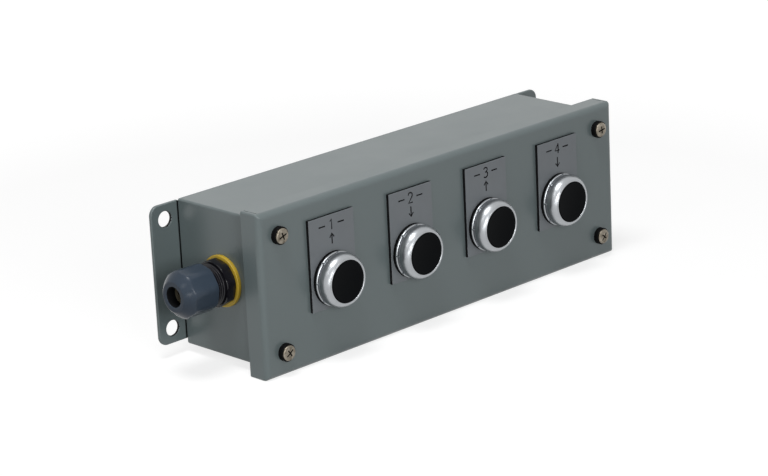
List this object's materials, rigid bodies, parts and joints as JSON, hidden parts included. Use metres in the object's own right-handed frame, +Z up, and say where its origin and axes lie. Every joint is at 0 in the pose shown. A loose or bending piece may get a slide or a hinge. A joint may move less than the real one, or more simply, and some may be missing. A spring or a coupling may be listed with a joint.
{
  "type": "pushbutton control panel",
  "caption": "Surface-mounted steel pushbutton station: a long grey box with a screwed front cover, flush black buttons in chrome bezels, legend plates, mounting feet and a cable gland.",
  "frame": {"origin": "middle of the four mounting holes, on the face of the feet that meets the wall", "axes": "+X along the length, to the right seen from the front; +Y back into the wall; +Z up; the buttons face -Y"},
  "size_m": [0.288, 0.0771, 0.0826],
  "materials": {
    "painted_box": "satin",
    "painted_cover": "satin",
    "bare_steel": "satin",
    "brass": "satin",
    "gland_black": "satin",
    "seal_yellow": "matte",
    "insert_rubber": "matte",
    "gland_grey": "satin",
    "neoprene": "matte",
    "zinc_plated": "satin",
    "legend_laminate": "satin",
    "chrome": "polished",
    "operator_zinc": "satin",
    "block_plastic": "satin",
    "cap_plastic": "satin",
    "carrier_plastic": "satin",
    "spring_steel": "satin",
    "contact_silver": "satin"
  },
  "bodies": {
    "housing": {"enclosure_box": "painted_box", "corner_tabs": "bare_steel", "mounting_foot_left": "painted_box", "mounting_foot_right": "painted_box", "ground_stud": "brass", "gland_body": "gland_black", "gland_seal_ring": "seal_yellow", "gland_locknut": "gland_black", "gland_insert": "insert_rubber"},
    "gland_nut": {"gland_dome_nut": "gland_grey"},
    "front_cover": {"cover": "painted_cover", "cover_gasket": "neoprene", "screw_washers": "neoprene", "bezel_washers": "neoprene", "panel_gaskets": "neoprene", "terminal_strips": "brass", "terminal_screws": "zinc_plated", "legend_plate_1": "legend_laminate", "legend_plate_2": "legend_laminate", "legend_plate_3": "legend_laminate", "legend_plate_4": "legend_laminate", "bezel_ring_1": "chrome", "bezel_ring_2": "chrome", "bezel_ring_3": "chrome", "bezel_ring_4": "chrome", "operator_body_1": "operator_zinc", "operator_body_2": "operator_zinc", "operator_body_3": "operator_zinc", "operator_body_4": "operator_zinc", "contact_block_1": "block_plastic", "contact_block_2": "block_plastic", "contact_block_3": "block_plastic", "contact_block_4": "block_plastic", "return_spring_1": "spring_steel", "return_spring_2": "spring_steel", "return_spring_3": "spring_steel", "return_spring_4": "spring_steel"},
    "button_1": {"button_cap_1": "cap_plastic", "stem_clip_1": "spring_steel", "contact_carrier_1": "carrier_plastic", "contact_bridge_1": "contact_silver"},
    "button_2": {"button_cap_2": "cap_plastic", "stem_clip_2": "spring_steel", "contact_carrier_2": "carrier_plastic", "contact_bridge_2": "contact_silver"},
    "button_3": {"button_cap_3": "cap_plastic", "stem_clip_3": "spring_steel", "contact_carrier_3": "carrier_plastic", "contact_bridge_3": "contact_silver"},
    "button_4": {"button_cap_4": "cap_plastic", "stem_clip_4": "spring_steel", "contact_carrier_4": "carrier_plastic", "contact_bridge_4": "contact_silver"},
    "screw_1": {"cover_screw_1": "zinc_plated"},
    "screw_2": {"cover_screw_2": "zinc_plated"},
    "screw_3": {"cover_screw_3": "zinc_plated"},
    "screw_4": {"cover_screw_4": "zinc_plated"}
  },
  "joints": [
    {"name": "gland_nut_turn", "type": "hinge", "parent": "housing", "child": "gland_nut", "pos_m": [-0.1334, -0.0323, 0.0008], "axis": [-1, 0, 0], "continuous": true},
    {"name": "cover_lift_off", "type": "slide", "parent": "housing", "child": "front_cover", "axis": [0, -1, 0], "range_m": [0, 0.07]},
    {"name": "button_1_press", "type": "slide", "parent": "front_cover", "child": "button_1", "axis": [0, 1, 0], "range_m": [0, 0.004], "stiffness_N_per_m": 700, "springref_m": -0.004, "deforming": ["return_spring_1"]},
    {"name": "button_2_press", "type": "slide", "parent": "front_cover", "child": "button_2", "axis": [0, 1, 0], "range_m": [0, 0.004], "stiffness_N_per_m": 700, "springref_m": -0.004, "deforming": ["return_spring_2"]},
    {"name": "button_3_press", "type": "slide", "parent": "front_cover", "child": "button_3", "axis": [0, 1, 0], "range_m": [0, 0.004], "stiffness_N_per_m": 700, "springref_m": -0.004, "deforming": ["return_spring_3"]},
    {"name": "button_4_press", "type": "slide", "parent": "front_cover", "child": "button_4", "axis": [0, 1, 0], "range_m": [0, 0.004], "stiffness_N_per_m": 700, "springref_m": -0.004, "deforming": ["return_spring_4"]},
    {"name": "cover_screw_1_turn", "type": "hinge", "parent": "front_cover", "child": "screw_1", "pos_m": [-0.113, -0.0656, 0.0283], "axis": [0, -1, 0], "continuous": true},
    {"name": "cover_screw_2_turn", "type": "hinge", "parent": "front_cover", "child": "screw_2", "pos_m": [-0.113, -0.0656, -0.0299], "axis": [0, -1, 0], "continuous": true},
    {"name": "cover_screw_3_turn", "type": "hinge", "parent": "front_cover", "child": "screw_3", "pos_m": [0.113, -0.0656, 0.0283], "axis": [0, -1, 0], "continuous": true},
    {"name": "cover_screw_4_turn", "type": "hinge", "parent": "front_cover", "child": "screw_4", "pos_m": [0.113, -0.0656, -0.0299], "axis": [0, -1, 0], "continuous": true}
  ]
}
